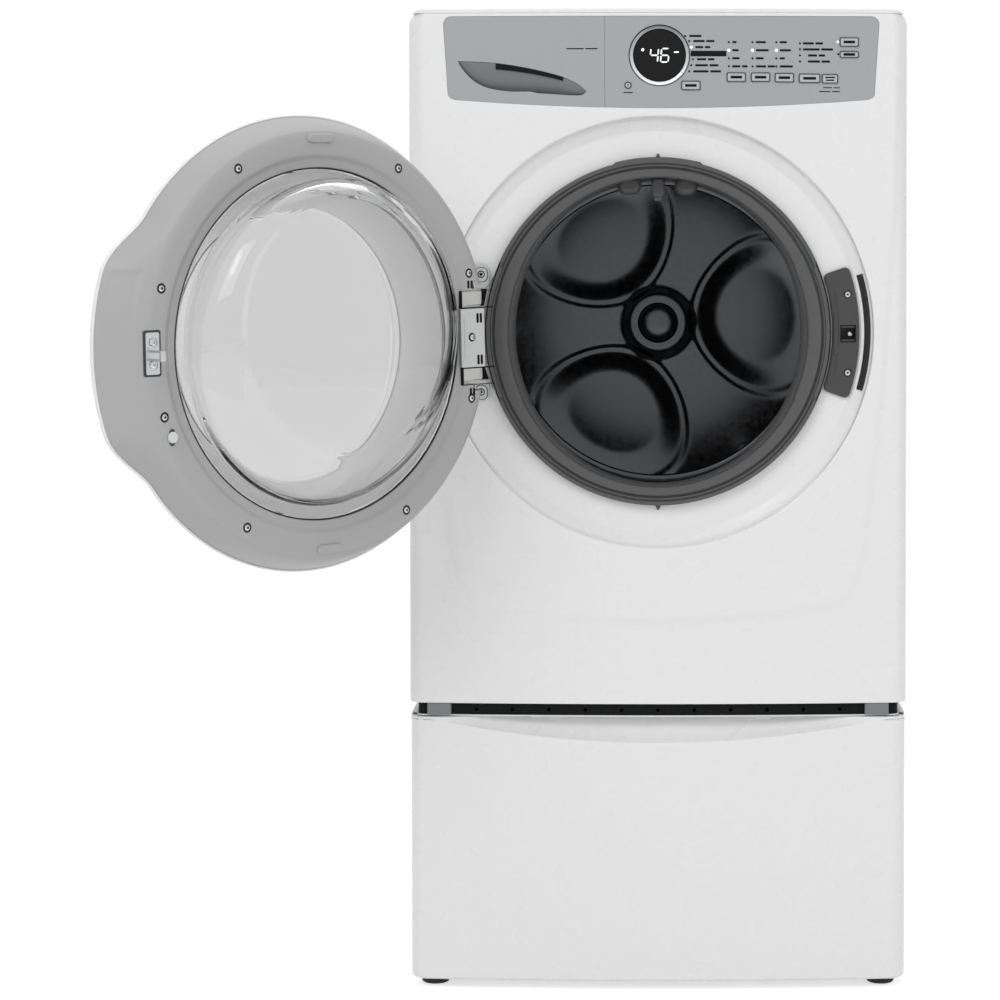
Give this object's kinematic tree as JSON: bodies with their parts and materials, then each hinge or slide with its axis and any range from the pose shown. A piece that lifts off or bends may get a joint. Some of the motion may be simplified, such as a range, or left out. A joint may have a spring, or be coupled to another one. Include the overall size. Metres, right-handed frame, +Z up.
{
  "type": "front load washing machine",
  "caption": "Front load washing machine with its round glass door open, bowed white front, grey console and a matching drawer pedestal.",
  "frame": {"origin": "on the floor, at the centre of the four pedestal feet", "axes": "+Z up, -Y out of the front towards the user, +X to the right seen from the front"},
  "size_m": [1.0398, 1.2725, 1.348],
  "materials": {
    "white_paint": "gloss",
    "console_plastic": "satin",
    "key_plastic": "satin",
    "display_black": "gloss",
    "bright_ring": "polished",
    "board": "matte",
    "galvanised": "satin",
    "dark_plastic": "matte",
    "light_plastic": "matte",
    "gasket_rubber": "matte",
    "black_rubber": "matte",
    "frame_plastic": "satin",
    "clear_glass": "polished",
    "window_plastic": "polished",
    "stainless": "brushed",
    "bright_steel": "polished",
    "cast_metal": "cast",
    "concrete": "rough",
    "motor_metal": "matte",
    "tub_plastic": "matte",
    "belt_rubber": "matte"
  },
  "bodies": {
    "cabinet": {"cabinet_shell": "white_paint", "top_panel": "white_paint", "front_panel": "white_paint", "control_fascia": "console_plastic", "display_bezel": "bright_ring", "display_window": "display_black", "control_board": "board", "base_frame": "dark_plastic", "rear_panel": "galvanised", "washer_feet": "light_plastic", "door_lock": "dark_plastic", "hinge_bracket": "cast_metal", "bracket_screws": "bright_steel", "recess_trim": "dark_plastic", "door_gasket": "gasket_rubber", "inlet_valves": "light_plastic", "dispenser_housing": "tub_plastic", "drain_pump": "light_plastic", "sump_hose": "black_rubber", "fill_hose": "black_rubber", "drain_spigot": "dark_plastic", "power_inlet": "dark_plastic", "suspension_springs": "galvanised", "dampers": "dark_plastic", "pedestal_cabinet": "white_paint", "pedestal_feet": "black_rubber", "pedestal_rails": "galvanised"},
    "tub": {"tub_front": "tub_plastic", "tub_rear": "tub_plastic", "counterweights": "concrete", "shaft_bearings": "bright_steel", "motor": "motor_metal", "drive_belt": "belt_rubber"},
    "drum": {"drum": "stainless", "drum_baffles": "stainless", "drum_spider": "cast_metal", "drum_pulley": "cast_metal"},
    "rotor": {"motor_pulley": "bright_steel"},
    "door": {"door_shell": "white_paint", "door_window": "window_plastic", "door_frame": "frame_plastic", "door_glass": "clear_glass", "door_arm": "cast_metal", "hinge_pins": "bright_steel", "door_screws": "bright_steel", "door_strike": "bright_steel", "door_bumper": "tub_plastic"},
    "dispenser": {"dispenser_front": "console_plastic", "dispenser_tray": "tub_plastic"},
    "drawer": {"drawer_front": "white_paint", "drawer_box": "galvanised"},
    "key_power": {"key_power": "key_plastic"},
    "key_cycles": {"key_cycles": "key_plastic"},
    "key_temp": {"key_temp": "key_plastic"},
    "key_soil": {"key_soil": "key_plastic"},
    "key_spin": {"key_spin": "key_plastic"},
    "key_options": {"key_options": "key_plastic"},
    "key_select": {"key_select": "key_plastic"},
    "key_start": {"key_start": "key_plastic"},
    "key_cancel": {"key_cancel": "key_plastic"}
  },
  "joints": [
    {"name": "door_swing", "type": "hinge", "parent": "cabinet", "child": "door", "pos_m": [-0.2725, -0.4256, 0.9059], "axis": [-0.0122, 0, 0.9999], "range_deg": [0, 135.9]},
    {"name": "tub_float", "type": "slide", "parent": "cabinet", "child": "tub", "axis": [0, 0, 1], "range_m": [-0.008, 0.008], "stiffness_N_per_m": 30000, "deforming": ["door_gasket", "sump_hose", "fill_hose", "suspension_springs", "dampers"]},
    {"name": "drum_spin", "type": "hinge", "parent": "tub", "child": "drum", "pos_m": [0, -0.07, 0.9059], "axis": [0, 1, 0], "continuous": true},
    {"name": "motor_spin", "type": "hinge", "parent": "tub", "child": "rotor", "pos_m": [0.12997, 0.27, 0.52], "axis": [0, 1, 0], "continuous": true},
    {"name": "dispenser_slide", "type": "slide", "parent": "cabinet", "child": "dispenser", "axis": [0, -1, 0], "range_m": [0, 0.25]},
    {"name": "drawer_slide", "type": "slide", "parent": "cabinet", "child": "drawer", "axis": [0, -1, 0], "range_m": [0, 0.42]},
    {"name": "key_power_press", "type": "slide", "parent": "cabinet", "child": "key_power", "axis": [0, 1, 0], "range_m": [0, 0.001], "stiffness_N_per_m": 900, "springref_m": -0.0005},
    {"name": "key_cycles_press", "type": "slide", "parent": "cabinet", "child": "key_cycles", "axis": [0, 1, 0], "range_m": [0, 0.001], "stiffness_N_per_m": 900, "springref_m": -0.0005},
    {"name": "key_temp_press", "type": "slide", "parent": "cabinet", "child": "key_temp", "axis": [0, 1, 0], "range_m": [0, 0.001], "stiffness_N_per_m": 900, "springref_m": -0.0005},
    {"name": "key_soil_press", "type": "slide", "parent": "cabinet", "child": "key_soil", "axis": [0, 1, 0], "range_m": [0, 0.001], "stiffness_N_per_m": 900, "springref_m": -0.0005},
    {"name": "key_spin_press", "type": "slide", "parent": "cabinet", "child": "key_spin", "axis": [0, 1, 0], "range_m": [0, 0.001], "stiffness_N_per_m": 900, "springref_m": -0.0005},
    {"name": "key_options_press", "type": "slide", "parent": "cabinet", "child": "key_options", "axis": [0, 1, 0], "range_m": [0, 0.001], "stiffness_N_per_m": 900, "springref_m": -0.0005},
    {"name": "key_select_press", "type": "slide", "parent": "cabinet", "child": "key_select", "axis": [0, 1, 0], "range_m": [0, 0.001], "stiffness_N_per_m": 900, "springref_m": -0.0005},
    {"name": "key_start_press", "type": "slide", "parent": "cabinet", "child": "key_start", "axis": [0, 1, 0], "range_m": [0, 0.001], "stiffness_N_per_m": 900, "springref_m": -0.0005},
    {"name": "key_cancel_press", "type": "slide", "parent": "cabinet", "child": "key_cancel", "axis": [0, 1, 0], "range_m": [0, 0.001], "stiffness_N_per_m": 900, "springref_m": -0.0005}
  ],
  "couplings": [
    {"joint": "motor_spin", "follows": "drum_spin", "ratio": 6}
  ]
}
